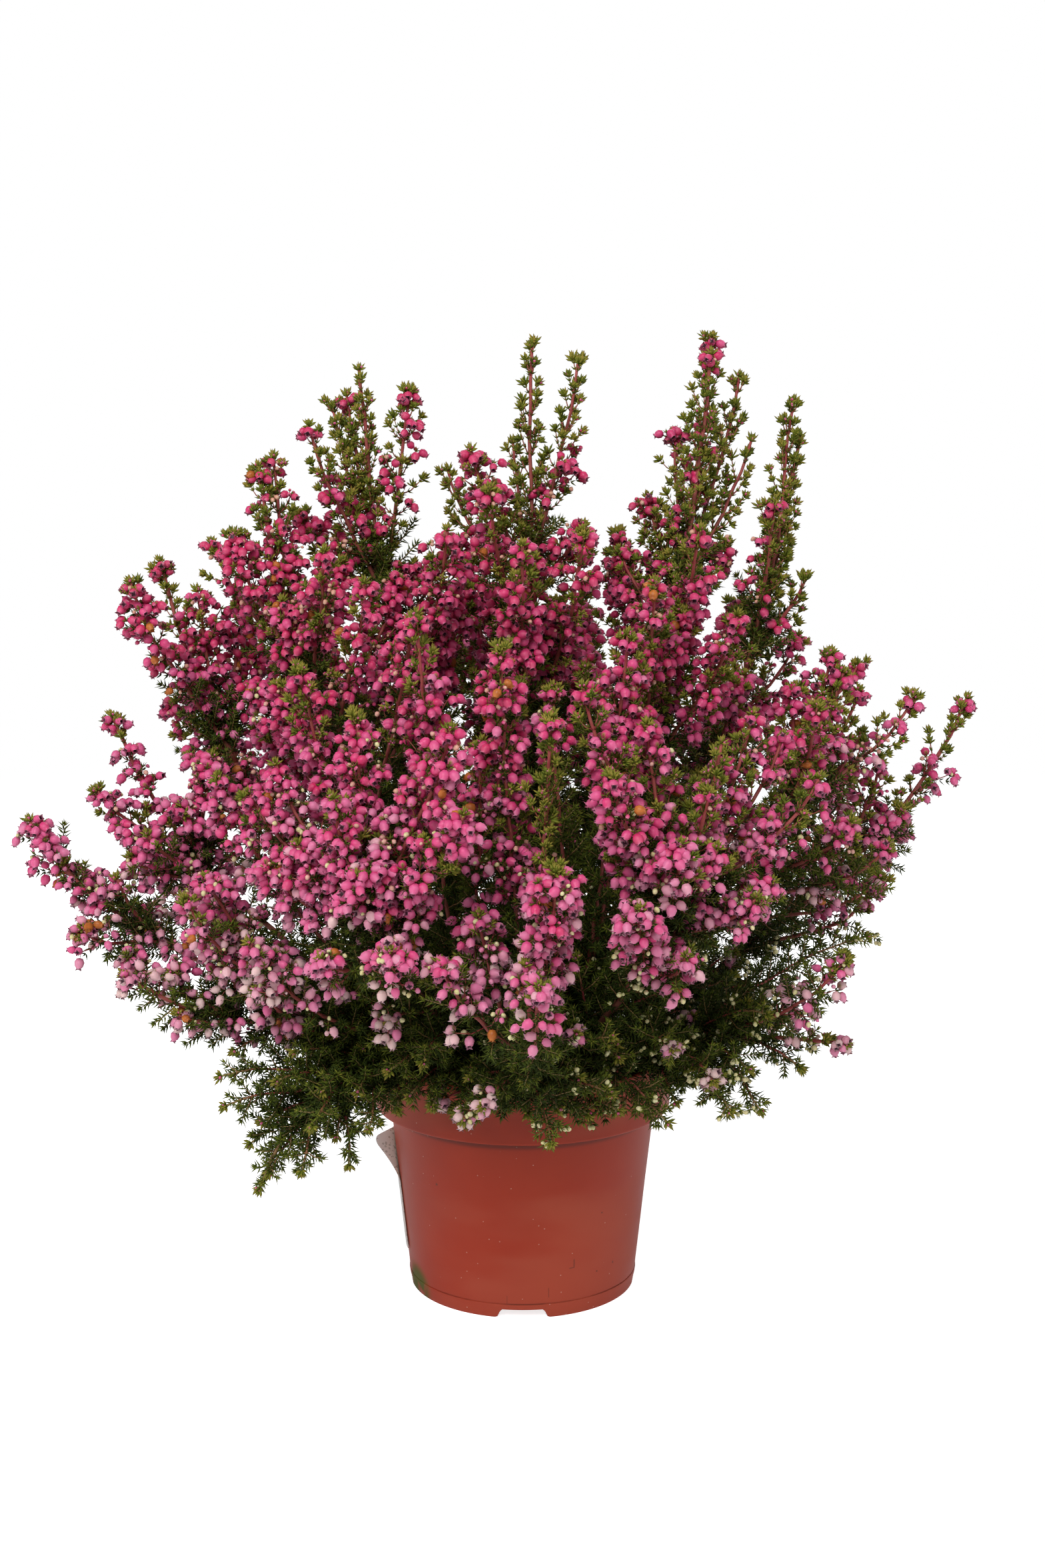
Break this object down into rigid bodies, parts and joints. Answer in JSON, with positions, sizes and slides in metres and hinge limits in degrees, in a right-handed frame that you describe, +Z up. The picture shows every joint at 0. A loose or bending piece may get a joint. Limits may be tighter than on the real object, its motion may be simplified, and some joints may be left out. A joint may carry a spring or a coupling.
{
  "type": "potted heather",
  "caption": "Flowering heather with woody shoots, needle leaves and small bell flowers, rooted in peat in a moulded plastic pot with a blank peeling label.",
  "frame": {"origin": "centre of the pot's foot ring on the ground, under the middle of the plant", "axes": "+Z up along the pot's axis, -Y to the front of the plant, +X to its right as seen from the front"},
  "size_m": [0.408, 0.3715, 0.4041],
  "materials": {
    "pot_plastic": "satin",
    "peat": "matte",
    "label_paper": "matte",
    "stem_bark": "matte",
    "heather_leaf": "satin",
    "heather_bell": "satin"
  },
  "bodies": {
    "root": {"pot": "pot_plastic", "potting_peat": "peat", "pot_label": "label_paper", "stem_01": "stem_bark", "leaves_01": "heather_leaf", "bells_01": "heather_bell", "stem_02": "stem_bark", "leaves_02": "heather_leaf", "bells_02": "heather_bell", "stem_03": "stem_bark", "leaves_03": "heather_leaf", "bells_03": "heather_bell", "stem_04": "stem_bark", "leaves_04": "heather_leaf", "bells_04": "heather_bell", "stem_05": "stem_bark", "leaves_05": "heather_leaf", "bells_05": "heather_bell", "stem_06": "stem_bark", "leaves_06": "heather_leaf", "bells_06": "heather_bell", "stem_07": "stem_bark", "leaves_07": "heather_leaf", "bells_07": "heather_bell", "stem_08": "stem_bark", "leaves_08": "heather_leaf", "bells_08": "heather_bell", "stem_09": "stem_bark", "leaves_09": "heather_leaf", "bells_09": "heather_bell", "stem_10": "stem_bark", "leaves_10": "heather_leaf", "bells_10": "heather_bell", "stem_11": "stem_bark", "leaves_11": "heather_leaf", "bells_11": "heather_bell", "stem_12": "stem_bark", "leaves_12": "heather_leaf", "bells_12": "heather_bell", "stem_13": "stem_bark", "leaves_13": "heather_leaf", "bells_13": "heather_bell", "stem_14": "stem_bark", "leaves_14": "heather_leaf", "bells_14": "heather_bell", "stem_15": "stem_bark", "leaves_15": "heather_leaf", "bells_15": "heather_bell", "stem_16": "stem_bark", "leaves_16": "heather_leaf", "bells_16": "heather_bell", "stem_17": "stem_bark", "leaves_17": "heather_leaf", "bells_17": "heather_bell", "stem_18": "stem_bark", "leaves_18": "heather_leaf", "bells_18": "heather_bell", "stem_19": "stem_bark", "leaves_19": "heather_leaf", "bells_19": "heather_bell"}
  },
  "joints": []
}
